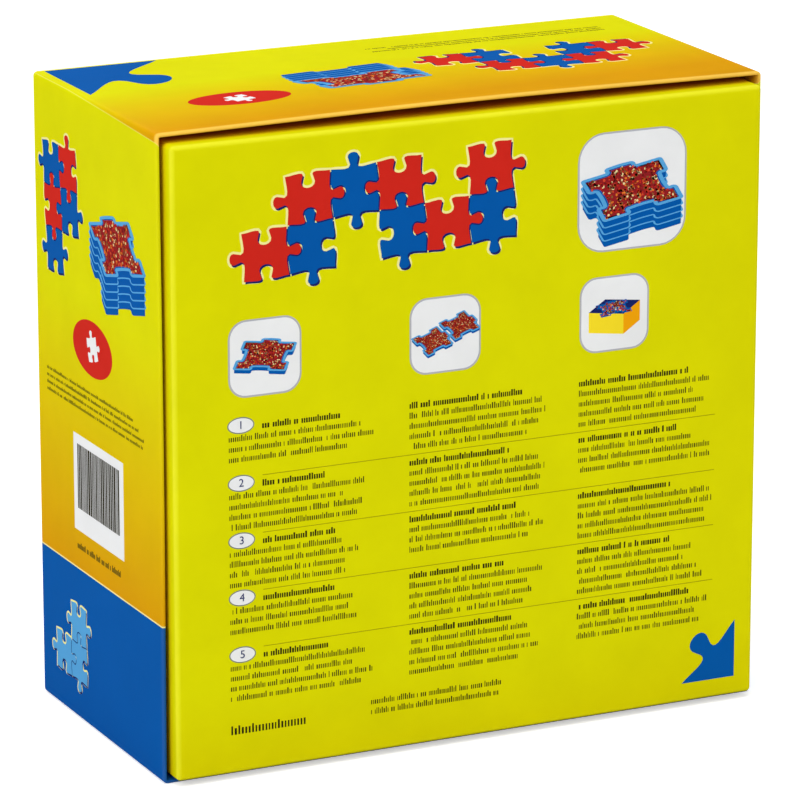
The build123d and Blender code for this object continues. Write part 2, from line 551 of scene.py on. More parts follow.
basePrint = {
    "yellow": colour(214, 212, 2),
    "low": colour(211, 203, 1),  # painted shade, darker towards the panel's foot by the floor
    "lowFrom": 26 * mm,
    "lowTo": 4 * mm,
    "rightFrom": 40 * mm,  # where the painted shade starts on the panel's right side too
    "lowRight": 0.3,
    "shade": colour(116, 106, 2),  # painted shade on the fold that the foot ends in
    "shadeFrom": 0.9 * mm,
    "shadeTo": 0.2 * mm,
    "orange": colour(214, 118, 6),  # the walls, which the lid hides
    "orangeFrom": 3 * mm,
    "orangeTo": 11 * mm,
    # the lighter colour of the folds: wear, and a painted highlight
    "worn": colour(240, 238, 60),
    "wear": 0.06,
    "foldWear": 0.4,  # a painted highlight, more along the top and left folds, which catch the light
}


def basePrintAndShadingFinish(look):
    finish, tree, shader = newFinish("basePrint")
    lo, hi = halves["base"]["lo"], halves["base"]["hi"]
    spot, x, y, z = places(tree)
    # painted shade: the panel darker towards its foot and its right side
    right = times(tree, spread(tree, x, look["rightFrom"], hi.x), look["lowRight"])
    low = plus(tree, spread(tree, z, lo.z + look["lowFrom"], lo.z + look["lowTo"]), right)
    # painted shade on the foot's fold, its side turned from the light
    foot = spread(tree, z, lo.z + look["shadeFrom"], lo.z + look["shadeTo"])
    behind = spread(tree, y, lo.y + look["orangeFrom"], lo.y + look["orangeTo"])
    printed = mixColours(tree, low, look["yellow"], look["low"])
    printed = mixColours(tree, foot, printed, look["shade"])
    printed = mixColours(tree, behind, printed, look["orange"])
    # painted highlight along the top and left folds, where the light falls, over a little wear at all folds
    topFoldHighlight = spread(tree, z, hi.z - 1.2 * mm, hi.z - 0.3 * mm)
    leftFoldHighlight = spread(tree, x, lo.x + 1.2 * mm, lo.x + 0.2 * mm)
    folds = maths(tree, "MAXIMUM", topFoldHighlight, leftFoldHighlight)
    share = plus(tree, times(tree, folds, look["foldWear"]), look["wear"])
    worn = mixColours(tree, times(tree, painted(tree, "wear"), share), printed, look["worn"])
    laminated(tree, shader, spot, worn)
    return finish


greyboard = {
    "dark": colour(182, 175, 161),
    "grey": colour(196, 190, 176),
    "light": colour(208, 203, 191),
    "fleck": colour(112, 104, 94),
    "fleckShare": 0.35,
    "cloudSize": 90.0,
    "fleckSize": 620.0,
    "feltSize": 900.0,
    "feltDepth": 0.00012,
}


def boardFinish(look):  # recycled board: cloudy grey with flecks and short fibres
    finish, tree, shader = newFinish("greyboard")
    spot = places(tree)[0]
    clouds = mottle(tree, spot, look["cloudSize"], 5.0)
    base = ramp(tree, clouds, [(0.3, look["dark"]), (0.5, look["grey"]), (0.72, look["light"])])
    flecks = nodeIn(tree, "TexVoronoi", {"Vector": spot, "Scale": look["fleckSize"]})
    fleck = times(tree, maths(tree, "LESS_THAN", flecks, 0.1), look["fleckShare"])
    feedAll(tree, shader, {
        "Base Color": mixColours(tree, fleck, base, look["fleck"]),
        "Roughness": 0.9,
        "Specular IOR Level": 0.2,
        "Normal": bump(tree, mottle(tree, spot, look["feltSize"], 4.0, 0.7), 0.2, look["feltDepth"]),
    })
    return finish


kraft = {
    "dark": colour(152, 116, 78),
    "light": colour(186, 148, 104),
    "fibreSize": 700.0,
    "fibreDepth": 0.0001,
}


def tapeFinish(look):  # gummed kraft paper, its fibres along Y
    finish, tree, shader = newFinish("kraftTape")
    along = nodeIn(tree, "Mapping", {"Vector": places(tree)[0], "Scale": (1.0, 0.12, 1.0)})
    fibres = mottle(tree, along, look["fibreSize"], 4.0)
    feedAll(tree, shader, {
        "Base Color": ramp(tree, fibres, [(0.35, look["dark"]), (0.65, look["light"])]),
        "Roughness": 0.7,
        "Normal": bump(tree, fibres, 0.25, look["fibreDepth"]),
    })
    return finish


boardPaint, tapePaint = boardFinish(greyboard), tapeFinish(kraft)
wrapPaint = {"lid": lidPrintAndHighlightFinish(lidPrint), "base": basePrintAndShadingFinish(basePrint)}
for half, size in halves.items():
    wrap = shell(half + "WrapPaper", half, wrapProfile(size["depth"]), box["wrapSharpest"])
    wrap.data.materials.append(wrapPaint[half])
    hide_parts(*nodesLike(half + "_wrap"))
    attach(wrap, half)
    board = shell(half + "BoardShell", half, boardProfile(size["depth"]), box["boardSharpest"])
    board.data.materials.append(boardPaint)
    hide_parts(*nodesLike(half + "_board"))
    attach(board, half)
    for name in nodesLike(half + "_corner_stay"):
        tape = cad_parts[name].data
        tape.materials.clear()
        tape.materials.append(tapePaint)
print("box halves wrapped")


# Each face: its half, the lower left corner as read, and the ways across, up and out
faces = {
    "front": ("base", (0, 0, 0), (1, 0, 0), (0, 0, 1), (0, -1, 0)),
    "back": ("lid", (1, 1, 0), (-1, 0, 0), (0, 0, 1), (0, 1, 0)),
    "left": ("lid", (0, 1, 0), (0, -1, 0), (0, 0, 1), (-1, 0, 0)),
    "right": ("lid", (1, 0, 0), (0, 1, 0), (0, 0, 1), (1, 0, 0)),
    "top": ("lid", (1, 1, 1), (-1, 0, 0), (0, -1, 0), (0, 0, 1)),
}
ink = {
    "layer": 0.022,  # millimetres that each layer stands over the one below
    "depth": 0.03,  # how far a print reaches into the paper
    "cut": 7.0,  # prints on a bowed wall are cut this small, so that they follow it
    "weld": 0.0005,
}
inkTones = {
    "red": (200, 38, 28),
    "darkRed": (140, 30, 34),
    "blue": (4, 84, 162),
    "lightBlue": (84, 160, 214),
    "navy": (22, 34, 96),
    "pale": (238, 232, 150),
    "white": (230, 231, 232),
    "grey": (172, 172, 178),
    "darkGrey": (120, 126, 112),
    "orange": (236, 160, 10),
    "yellow": (240, 214, 40),
    "text": (62, 57, 16),
    "bold": (40, 36, 12),
    "rule": (150, 142, 10),
}
inks = {name: inkFinish(name + "Ink", colour(*tone)) for name, tone in inkTones.items()}
inks["bits"] = bitFinish()


def asMesh(holder):  # a plain mesh of what the object shows, and the object is gone
    bpy.context.scene.collection.objects.link(holder)
    bpy.context.view_layer.update()
    mesh = bpy.data.meshes.new_from_object(holder.evaluated_get(bpy.context.evaluated_depsgraph_get()))
    bpy.data.objects.remove(holder)
    return mesh


def flatMesh(outlines, layer):  # closed slabs in millimetres, holes where one outline lies in another
    data = bpy.data.curves.new("outlines", "CURVE")
    data.dimensions = "2D"
    data.fill_mode = "BOTH"
    top = ink["layer"] * (layer + 1)
    data.extrude = (top + ink["depth"]) / 2
    for points in outlines:
        spline = data.splines.new("POLY")
        spline.points.add(len(points) - 1)
        for point, (a, b) in zip(spline.points, points):
            point.co = (a, b, 0, 1)
        spline.use_cyclic_u = True
    mesh = asMesh(bpy.data.objects.new("outlines", data))
    mesh.transform(Matrix.Translation((0, 0, (top - ink["depth"]) / 2)))
    return mesh


def cutAcross(build, way):  # at even steps along one way of the flat sheet
    spots = [vertex.co[way] for vertex in build.verts]
    step = ink["cut"]
    for k in range(math.ceil(min(spots) / step), math.ceil(max(spots) / step)):
        normal = Vector((way == 0, way == 1, 0))
        bmesh.ops.bisect_plane(build, geom=build.verts[:] + build.edges[:] + build.faces[:],
                               plane_co=normal * k * step, plane_no=normal, dist=ink["weld"])


def lay(name, meshes, face, tint):  # from millimetres on a flat sheet to one piece in its place on the box
    half, start, across, up, out = faces[face]
    lo, hi = halves[half]["lo"], halves[half]["hi"]
    corner = Vector([hi[i] if start[i] else lo[i] for i in range(3)])
    across, up, out = Vector(across), Vector(up), Vector(out)
    build = bmesh.new()
    for mesh in meshes:
        build.from_mesh(mesh)
        bpy.data.meshes.remove(mesh)
    bmesh.ops.remove_doubles(build, verts=build.verts, dist=ink["weld"])
    if face in ("left", "right", "top"):
        cutAcross(build, 0)
        cutAcross(build, 1)
    for vertex in build.verts:
        a, b, c = vertex.co * mm
        vertex.co = bowed(half, corner + across * a + up * b) + out * c
    bmesh.ops.recalc_face_normals(build, faces=build.faces)
    piece = shown(name, meshFrom(build, name))
    piece.data.materials.append(inks[tint])
    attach(piece, half)


def printed(name, face, tint, layer, outlines):
    lay(name, [flatMesh(outlines, layer)], face, tint)


def turned(points, degrees, about):
    c, s = math.cos(math.radians(degrees)), math.sin(math.radians(degrees))
    a, b = about
    return [(a + c * (x - a) - s * (y - b), b + s * (x - a) + c * (y - b)) for x, y in points]


def oval(a, b, width, height, steps=44):
    angles = [2 * math.pi * k / steps for k in range(steps)]
    return [(a + width / 2 * math.cos(angle), b + height / 2 * math.sin(angle)) for angle in angles]


def slab(a, b, width, height, radius=0.0, steps=7):  # a rectangle about its middle, its corners rounded
    if radius > 0:
        return sum(roundedCorners(a, b, width / 2, height / 2, radius, steps), [])
    left, right, low, high = a - width / 2, a + width / 2, b - height / 2, b + height / 2
    return [(left, low), (right, low), (right, high), (left, high)]


def drawnIn(points, inset):  # moves an anticlockwise outline inwards
    moved = []
    for k, here in enumerate(points):
        before, after = points[k - 1], points[(k + 1) % len(points)]
        along = Vector((after[0] - before[0], after[1] - before[1]))
        if along.length:
            along.normalize()
        moved.append((here[0] - along.y * inset, here[1] + along.x * inset))
    return moved


def curveStops(points, steps):  # along a cubic curve, up to but without its end
    stops = []
    for k in range(steps):
        t = k / steps
        u = 1 - t
        shares = (u ** 3, 3 * u * u * t, 3 * u * t * t, t ** 3)
        stops.append([sum(share * point[i] for share, point in zip(shares, points)) for i in (0, 1)])
    return stops


jigsaw = {  # shares of a side
    "neck": 0.115,  # half of it
    "gap": 0.016,
    "halo": 0.035,
    "shadeRight": 0.03,
    "shadeDown": 0.045,
}


def knobSide(start, end, sign, steps=6):  # one side of a jigsaw piece, its tab on the right as it runs
    size = jigsaw["neck"]
    near, far = (0.5 - size, size), (0.5 + size, size)
    path = curveStops([(0, 0), (0.2, 0), (0.5, -size), near], steps)
    path += curveStops([near, (0.5 - 2 * size, 3 * size), (0.5 + 2 * size, 3 * size), far], steps + 3)
    path += curveStops([far, (0.5, -size), (0.8, 0), (1, 0)], steps)
    (a, b), across, up = start, end[0] - start[0], end[1] - start[1]
    return [(a + across * t + up * sign * out, b + up * t - across * sign * out) for t, out in path]


def jigsawPiece(a, b, size, knobs):  # knobs 1 or -1 at the bottom, right, top and left
    corners = [(a, b), (a + size, b), (a + size, b + size), (a, b + size)]
    points = []
    for k, way in enumerate(knobs):
        points += knobSide(corners[k], corners[(k + 1) % 4], way)
    return points


# Geometry Nodes trees, each with named inputs
def newGroup(name, sockets):  # each input's first value, or the kind of thing it takes
    group = bpy.data.node_groups.new(name, "GeometryNodeTree")
    group.interface.new_socket("Geometry", in_out="INPUT", socket_type="NodeSocketGeometry")
    for label, value in sockets.items():
        kind = value if isinstance(value, str) else {int: "Int", float: "Float"}[type(value)]
        socket = group.interface.new_socket(label, in_out="INPUT", socket_type="NodeSocket" + kind)
        if kind != value:
            socket.default_value = value
    group.interface.new_socket("Geometry", in_out="OUTPUT", socket_type="NodeSocketGeometry")
    return group, group.nodes.new("NodeGroupInput").outputs, group.nodes.new("NodeGroupOutput").inputs


def grown(name, group, values, seedMesh=None):  # what the tree makes, as a plain mesh
    holder = bpy.data.objects.new(name, seedMesh or bpy.data.meshes.new(name))
    modifier = holder.modifiers.new("grow", "NODES")
    modifier.node_group = group
    for item in group.interface.items_tree:
        if item.in_out == "INPUT" and item.name in values:
            modifier[item.identifier] = values[item.name]
    return asMesh(holder)


def chance(group, low, high, seed, number=None):  # a random size for each point
    made = nodeIn(group, "RandomValue", {"Seed": seed, "ID": number}, "Function", data_type="FLOAT")
    least, most = [socket for socket in made.inputs if socket.enabled][:2]
    feed(group, least, low)
    feed(group, most, high)
    return [socket for socket in made.outputs if socket.enabled][0]


def combined(tree, *parts):  # x, y and z as one
    return nodeIn(tree, "CombineXYZ", dict(enumerate(parts)))


def finished(group, geometry, material, result):  # every tree ends with these
    solid = meshStep(group, "RealizeInstances", {0: geometry})
    coated = meshStep(group, "SetMaterial", {"Geometry": solid, "Material": material})
    feed(group, result[0], coated)
    return group


# Rows of small bars in groups, in millimetres
smallPrint = {
    "Bars": 80,  # to a row, which ends where its length is full
    "Pitch": 3.1,
    "Bar Height": 1.3,
    "Bar Least": 0.2,
    "Bar Most": 0.42,
    "Gap": 0.32,
    "Space Share": 0.1,  # of bars left out, which parts the groups
    "Tall Share": 0.22,
    "Tall": 0.55,
    "Thickness": 0.06,
    "Ragged": 0.22,  # how much shorter than its length a row may be
}
headPrint = {"Bar Height": 1.4, "Bar Least": 0.38, "Bar Most": 0.6, "Gap": 0.26, "Ragged": 0.05}
finePrint = {"Bars": 170, "Pitch": 2.2, "Bar Height": 0.75, "Bar Least": 0.16, "Bar Most": 0.34, "Gap": 0.22,
             "Tall": 0.35}
footPrint = {"Bar Height": 2.0, "Bar Least": 0.4, "Bar Most": 0.7, "Gap": 0.5, "Tall": 0.7, "Ragged": 0.0}
labelBars = {"Bars": 34, "Bar Height": 20.0, "Bar Least": 0.3, "Bar Most": 1.2, "Gap": 0.42, "Ragged": 0.0,
             "Space Share": 0.0, "Tall Share": 0.0, "layer": 2.0}


def barGroup():
    first = {**smallPrint, "Rows": 3, "Length": 40.0, "Seed": 1, "Ink": "Material"}
    group, given, result = newGroup("barsForPrint", first)
    spots = meshStep(group, "Points", {"Count": times(group, given["Rows"], given["Bars"])})
    index = meshStep(group, "InputIndex")
    row = maths(group, "FLOOR", maths(group, "DIVIDE", plus(group, index, 0.5), given["Bars"]))
    seeds = [plus(group, given["Seed"], 1000.0 * k) for k in range(4)]
    wide = chance(group, given["Bar Least"], given["Bar Most"], seeds[0])
    step = plus(group, wide, given["Gap"])
    start = meshStep(group, "AccumulateField", {"Value": step, "Group ID": row}).outputs["Trailing"]
    share = chance(group, minus(group, 1.0, given["Ragged"]), 1.0, seeds[1], row)
    fits = maths(group, "LESS_THAN", plus(group, start, wide), times(group, share, given["Length"]))
    kept = maths(group, "GREATER_THAN", chance(group, 0.0, 1.0, seeds[2]), given["Space Share"])
    isTall = maths(group, "LESS_THAN", chance(group, 0.0, 1.0, seeds[3]), given["Tall Share"])
    extra = times(group, isTall, given["Tall"])
    middle = plus(group, start, times(group, wide, 0.5))
    down = times(group, row, times(group, given["Pitch"], -1.0))
    place = combined(group, middle, plus(group, down, times(group, extra, 0.5)))
    stood = meshStep(group, "SetPosition", {"Geometry": spots, "Position": place})
    block = meshStep(group, "MeshCube", {"Size": (1, 1, 1)})
    bars = meshStep(group, "InstanceOnPoints", {
        "Points": stood,
        "Selection": times(group, fits, kept),
        "Instance": block,
        "Scale": combined(group, wide, plus(group, given["Bar Height"], extra), given["Thickness"]),
    })
    return finished(group, bars, given["Ink"], result)


def bitGroup():  # loose puzzle pieces strewn over a flat shape
    first = {"Density": 1.6, "Size": 0.5, "Thickness": 0.03, "Seed": 1, "Ink": "Material"}
    group, given, result = newGroup("looseBits", first)
    ground = {"Mesh": given["Geometry"], "Density": given["Density"], "Seed": given["Seed"]}
    spots = meshStep(group, "DistributePointsOnFaces", ground)
    form = {"Vertices": 5, "Radius": given["Size"], "Depth": given["Thickness"]}
    bit = meshStep(group, "MeshCylinder", form)
    strewn = meshStep(group, "InstanceOnPoints", {
        "Points": spots,
        "Instance": bit,
        "Rotation": combined(group, 0.0, 0.0, chance(group, 0.0, 6.28, 3)),
        "Scale": combined(group, chance(group, 0.6, 1.4, 5), chance(group, 0.6, 1.4, 7), 1.0),
    })
    tone = {"Geometry": strewn, "Name": "tone", "Value": chance(group, 0.0, 1.0, 11)}
    toned = meshStep(group, "StoreNamedAttribute", tone, data_type="FLOAT", domain="INSTANCE")
    return finished(group, toned, given["Ink"], result)


def trayGroup():  # a section swept round a jigsaw outline, with a floor above and below
    first = {"Section": "Object", "Corner Steps": 8, "Edge Radius": 0.3, "Under Inset": 2.6,
             "Floor Inset": 3.8, "Floor": 1.2, "Plastic": "Material"}
    group, given, result = newGroup("sortingTray", first)
    loop = meshStep(group, "MeshToCurve", {"Mesh": given["Geometry"]})
    rounding = meshStep(group, "InputNamedAttribute", {"Name": "rounding"}, data_type="FLOAT")
    corners = {"Curve": loop, "Radius": rounding, "Count": given["Corner Steps"]}
    outlined = meshStep(group, "FilletCurve", corners, mode="POLY")
    upright = meshStep(group, "SetCurveNormal", {"Curve": outlined}, mode="Z_UP")
    drawn = meshStep(group, "ObjectInfo", {"Object": given["Section"]})
    line = meshStep(group, "MeshToCurve", {"Mesh": drawn.outputs["Geometry"]})
    edges = {"Curve": line, "Radius": given["Edge Radius"], "Count": 3, "Limit Radius": True}
    section = meshStep(group, "FilletCurve", edges, mode="POLY")
    swept = {"Curve": upright, "Profile Curve": section}
    parts = [meshStep(group, "CurveToMesh", swept)]
    for inset, height in ((given["Under Inset"], 0.0), (given["Floor Inset"], given["Floor"])):
        scaled = {0: meshStep(group, "InputNormal"), "Scale": times(group, inset, -1.0)}
        inward = nodeIn(group, "VectorMath", scaled, operation="SCALE")
        moved = meshStep(group, "SetPosition", {"Geometry": upright, "Offset": inward})
        filled = meshStep(group, "FillCurve", {"Curve": moved}, mode="TRIANGLES")
        lift = {"Geometry": filled, "Offset": combined(group, 0.0, 0.0, height)}
        parts.append(meshStep(group, "SetPosition", lift))
    together = meshStep(group, "JoinGeometry")
    for part in parts:
        feed(group, together.inputs[0], part)
    whole = meshStep(group, "MergeByDistance", {"Geometry": together, "Distance": 0.002})
    smooth = meshStep(group, "SetShadeSmooth", {"Geometry": whole})
    return finished(group, smooth, given["Plastic"], result)


barsForPrint, looseBits, sortingTray = barGroup(), bitGroup(), trayGroup()
print("trees built")


# The sorting trays, in millimetres about the middle of a tray's body, with its tab upwards
lowTray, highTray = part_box("sorting_tray_1")
trayForm = {
    "width": (highTray[0] - lowTray[0]) / mm,
    "height": (highTray[1] - lowTray[1]) / mm,
    "tabReach": 20.0,
    "tabNeck": 60.0,
    "tabHead": 66.0,
    "tabCrown": 3.0,
    "linkPlay": 1.0,
    "play": 1.0,  # tray in base, both sides together
    "mouthRadius": 7.0,
    "headRadius": 6.0,
    "cornerRadius": 4.0,
    "wall": 1.2,
    "floor": 1.2,
    "draft": math.radians(1.0),
    "beadOut": 0.6,
    "beadHeight": 2.0,
    "beadTuck": 0.03,  # the step under the bead
    "beadSlope": 0.3,
    "footDepth": 3.0,
    "footPlay": 0.35,
    "footDraft": math.radians(3.0),
    "floorMargin": 0.4,  # how far the swept section runs out over a floor
    "sharpFrom": math.radians(40),
}
baseHeight = halves["base"]["hi"].z - halves["base"]["lo"].z
trayForm["body"] = (baseHeight - 2 * rim) / mm - trayForm["play"] - trayForm["tabReach"]
trayForm["endRadius"] = 0.6 * (trayForm["tabHead"] / 2) ** 2 / trayForm["tabCrown"]


def trayCorners(form):  # the outline's corners and how far each is rounded, anticlockwise
    neck, head, play = form["tabNeck"] / 2, form["tabHead"] / 2, form["linkPlay"]
    tab = (neck, head, form["tabReach"], form["tabCrown"])
    blank = (neck + play, head + play, -form["tabReach"] - play, -form["tabCrown"])
    width, body = form["width"], form["body"]
    ways = [(1, 0), (0, 1), (-1, 0), (0, -1)]
    knobs = [blank, blank, tab, blank]
    spans = [(width, body / 2), (body, width / 2)] * 2
    radii = [form[name + "Radius"] for name in ("corner", "mouth", "head", "end", "head", "mouth")]
    corners = []
    for (c, s), (neck, head, reach, crown), (length, half) in zip(ways, knobs, spans):
        along = [-length / 2, -neck, -head, 0.0, head, neck]
        out = [0.0, 0.0, reach - crown, reach, reach - crown, 0.0]
        corners += [(c * a + s * (half + b), s * a - c * (half + b), radius)
                    for a, b, radius in zip(along, out, radii)]
    return corners


def lineMesh(name, points, closed):  # a chain of edges
    mesh = bpy.data.meshes.new(name)
    edges = [(k, k + 1) for k in range(len(points) - 1)]
    if closed:
        edges.append((len(points) - 1, 0))
    mesh.from_pydata([(a, b, 0.0) for a, b in points], edges, [])
    return mesh


def traySection(form):  # from the foot's underside round the rim to the floor
    foot = form["beadOut"] + form["wall"] + form["footPlay"]
    lean = (form["height"] - form["footDepth"]) * math.tan(form["draft"])
    under = form["height"] - form["beadHeight"]
    rimInset = form["beadOut"] + form["wall"]
    ledge = form["footDepth"] + form["floor"]
    innerLean = (form["height"] - ledge) * math.tan(form["draft"])
    toe = form["footDepth"] * math.tan(form["footDraft"])
    stops = [
        (foot + toe + form["floorMargin"], 0.0),
        (foot + toe, 0.0),
        (foot, form["footDepth"]),
        (form["beadOut"] + lean, form["footDepth"]),
        (form["beadOut"] + form["beadTuck"], under),
        (0.0, under + form["beadSlope"]),
        (0.0, form["height"]),
        (rimInset, form["height"]),
        (rimInset + innerLean, ledge),
        (foot + form["wall"], ledge),
        (foot + form["wall"] + toe, form["floor"]),
        (foot + form["wall"] + toe + form["floorMargin"], form["floor"]),
    ]
    return [(-inset, -height) for inset, height in stops]  # swept, x points out of the loop and y down


plastic = {
    "blue": colour(0, 98, 186),
    "flow": colour(0, 108, 198),
    "scuffed": colour(60, 140, 208),
    "scuffShare": 0.12,
    "scuffSize": 420.0,
    "flowSize": 45.0,
    "flowDepth": 0.0006,
    "roughness": (0.24, 0.4),
}


def trayFinish(look):  # moulded polystyrene, with faint flow marks and scuffs
    finish, tree, shader = newFinish("moulded")
    spot = places(tree)[0]
    flow = nodeIn(tree, "Mapping", {"Vector": spot, "Scale": (1.0, 1.0, 0.3)})
    marks = mottle(tree, flow, look["flowSize"])
    tint = mixColours(tree, spread(tree, marks, 0.35, 0.75), look["blue"], look["flow"])
    scuff = maths(tree, "GREATER_THAN", mottle(tree, spot, look["scuffSize"], 4.0), 0.68)
    feedAll(tree, shader, {
        "Base Color": mixColours(tree, times(tree, scuff, look["scuffShare"]), tint, look["scuffed"]),
        "Specular IOR Level": 0.45,
        "Roughness": spread(tree, mottle(tree, spot, 160.0), 0.0, 1.0, *look["roughness"]),
        "Normal": bump(tree, marks, 0.12, look["flowDepth"]),
    })
    return finish


def makeTrays(form, material):
    corners, stops = trayCorners(form), traySection(form)
    section = shown("traySection", lineMesh("traySection", stops, False))
    for name in nodesLike("sorting_tray"):
        seed = lineMesh(name, [(a, b) for a, b, radius in corners], True)
        rounding = seed.attributes.new("rounding", "FLOAT", "POINT")
        rounding.data.foreach_set("value", [radius for a, b, radius in corners])
        mesh = grown(name, sortingTray, {
            "Section": section, "Under Inset": -stops[0][0], "Floor Inset": -stops[-1][0],
            "Floor": form["floor"], "Plastic": material}, seed)
        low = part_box(name)[0]
        middle = low[2] / mm + form["body"] / 2
        mesh.transform(Matrix(((-1, 0, 0, 0), (0, 0, 1, low[1] / mm), (0, 1, 0, middle), (0, 0, 0, 1))))
        mesh.transform(Matrix.Scale(mm, 4))
        build = bmesh.new()
        build.from_mesh(mesh)
        bmesh.ops.recalc_face_normals(build, faces=build.faces)
        build.to_mesh(mesh)
        build.free()
        mesh.set_sharp_from_angle(angle=form["sharpFrom"])
        piece = shown("mouldedTray" + name[-1], mesh)
        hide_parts(name)
        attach(piece, "tray_" + name[-1])
    bpy.data.objects.remove(section)


makeTrays(trayForm, trayFinish(plastic))
print("trays made")


# What is printed on the box, in millimetres from the lower left corner of a face as it is read
def rounded(corners, steps=5):  # an outline's points, with its corners rounded
    points = []
    for k, (a, b, radius) in enumerate(corners):
        here = Vector((a, b))
        before = (Vector(corners[k - 1][:2]) - here).normalized()
        after = (Vector(corners[(k + 1) % len(corners)][:2]) - here).normalized()
        half = before.angle(after) / 2
        start, end = here + before * radius / math.tan(half), here + after * radius / math.tan(half)
        centre = here + (before + after).normalized() * radius / math.sin(half)
        spokes = [(start.lerp(end, k / steps) - centre).normalized() for k in range(steps + 1)]
        points += [tuple(centre + spoke * radius) for spoke in spokes]
    return points


def leaning(points, middle, scale, spin, squash):  # a flat shape seen from above at a slant
    c, s = math.cos(math.radians(spin)), math.sin(math.radians(spin))
    a, b = middle
    return [(a + scale * (x * c - y * s), b + scale * squash * (x * s + y * c)) for x, y in points]


def overprinted(name, face, tint, layer, outlines):  # outlines that may lie over each other
    lay(name, [flatMesh([points], layer + 0.05 * k) for k, points in enumerate(outlines)], face, tint)


def barText(name, face, tint, blocks):  # each block: left, first row's height, rows, length, seed, sizes
    meshes = []
    for left, height, rows, length, seed, sizes in blocks:
        values = {**smallPrint, **sizes, "Rows": rows, "Length": length, "Seed": seed, "Ink": inks[tint]}
        mesh = grown(name, barsForPrint, values)
        mesh.transform(Matrix.Translation((left, height, ink["layer"] * sizes.get("layer", 0.0))))
        meshes.append(mesh)
    lay(name, meshes, face, tint)


def plainNumbers(name, face, tint, layer, numbers):  # each: text, middle and size
    meshes = []
    for text, a, b, size in numbers:
        data = bpy.data.curves.new(name, "FONT")
        data.body = text
        data.size = size
        data.align_x, data.align_y = "CENTER", "CENTER"
        data.extrude = 0.03
        mesh = asMesh(bpy.data.objects.new(name, data))
        mesh.transform(Matrix.Translation((a, b, ink["layer"] * layer)))
        meshes.append(mesh)
    lay(name, meshes, face, tint)


def cluster(name, face, cells, size, origin, angle, colours):  # jigsaw pieces: column, row, colour
    pieces, under, dark = {}, [], []
    for column, row, tint in cells:
        knobs = (1, -1, 1, -1) if (column + row) % 2 else (-1, 1, -1, 1)
        shape = jigsawPiece(origin[0] + column * size, origin[1] + row * size, size, knobs)
        shape = turned(shape, angle, origin)
        inner = drawnIn(shape, jigsaw["gap"] * size)
        pieces.setdefault(tint, []).append(inner)
        under.append(drawnIn(shape, -jigsaw["halo"] * size))
        dark.append([(a + jigsaw["shadeRight"] * size, b - jigsaw["shadeDown"] * size) for a, b in inner])
    overprinted(name + "Halo", face, "pale", 0, under)
    overprinted(name + "Shade", face, "navy", 1.2, dark)
    for tint, shapes in pieces.items():
        printed(name + colours[tint].title(), face, colours[tint], 2.4, shapes)


pictures = {
    "layer": 3,  # of ink, at which a picture starts
    "trayLayers": 0.6,  # layers from one tray of a stack to the next
    "bitSize": 0.014,  # of a loose piece, as a share of the picture's width
    "bitCrowd": 150,  # loose pieces over a square as wide as the picture, for a crowd of 1
    "stackPitch": 0.9,  # of a drawn stack, as a share of the real one
    "rimOut": 4.5,  # what is drawn round a tray's outline, in millimetres of the real tray
    "rimIn": 5.0,
    "floorIn": 9.0,
}


def strew(name, face, outline, layer, width, crowd, seed):  # loose pieces within an outline
    flat = bmesh.new()
    flat.faces.new([flat.verts.new((a, b, 0)) for a, b in outline])
    bmesh.ops.triangulate(flat, faces=flat.faces)
    mesh = grown(name, looseBits, {
        "Density": pictures["bitCrowd"] / width ** 2 * crowd,
        "Size": pictures["bitSize"] * width,
        "Seed": seed,
        "Ink": inks["bits"],
    }, meshFrom(flat, name))
    mesh.transform(Matrix.Translation((0, 0, ink["layer"] * layer)))
    lay(name, [mesh], face, "bits")


trayLoop = rounded(trayCorners(trayForm))


# A stack of filled trays
def trayPicture(name, face, middle, width, count=1, spin=18, squash=0.55, seed=1):
    scale = width / trayForm["width"]
    pitch = (trayForm["height"] - trayForm["footDepth"]) * scale * pictures["stackPitch"]

    def drawn(loop, rise):  # so many trays up
        return leaning(loop, (middle[0], middle[1] + pitch * rise), scale, spin, squash)

    outer, inner, bed = [drawnIn(trayLoop, inset) for inset in
                         (-pictures["rimOut"], pictures["rimIn"], pictures["floorIn"])]
    walls, rims = [], []
    for tray in range(count):
        base = pictures["layer"] + pictures["trayLayers"] * tray
        walls += [flatMesh([drawn(trayLoop, tray + step / 5)], base + 0.05 * step) for step in range(4)]
        rims.append(flatMesh([drawn(outer, tray + 1), drawn(inner, tray + 1)], base + 0.35))
    above = pictures["trayLayers"] * count
    walls.append(flatMesh([drawn(trayLoop, count)], pictures["layer"] + above - 0.32))
    lay(name + "Walls", walls, face, "blue")
    lay(name + "Rims", rims, face, "lightBlue")
    floor = drawn(bed, count)
    printed(name + "Floor", face, "darkRed", pictures["layer"] + above, [floor])
    strew(name + "Pieces", face, floor, pictures["layer"] + 2 + above, width, 9, seed)


def boxPicture(name, face, middle, width):  # an open box with a tray in it
    a, b = middle
    half, near, high = width / 2, width * 0.18, width * 0.36
    left, front, right = (a - half, b), (a + near, b - high * 0.25), (a + half, b + high * 0.35)
    back = (a - near, b + width * 0.26 * 0.8)
    feet = [(a - half, b - high), (a + near, b - high * 1.25), (a + half, b - high * 0.65)]
    layer = pictures["layer"]
    printed(name + "Front", face, "yellow", layer, [[feet[0], feet[1], front, left]])
    printed(name + "Side", face, "orange", layer, [[feet[1], feet[2], right, front]])
    printed(name + "Mouth", face, "navy", layer, [[left, front, right, back]])
    scale = width * 0.62 / trayForm["width"]
    shape = leaning(trayLoop, (a - width * 0.01, b + high * 0.08), scale, 12, 0.42)
    printed(name + "Tray", face, "blue", layer + 1, [shape])
    strew(name + "Pieces", face, drawnIn(shape, 0.03 * width), layer + 3, width, 12, 9)


def tile(name, face, middle, size):  # a white tile with a grey edge
    printed(name + "Edge", face, "grey", 0, [slab(*middle, size, size, size * 0.24)])
    printed(name + "White", face, "white", 1, [slab(*middle, size - 1.1, size - 1.1, size * 0.22)])


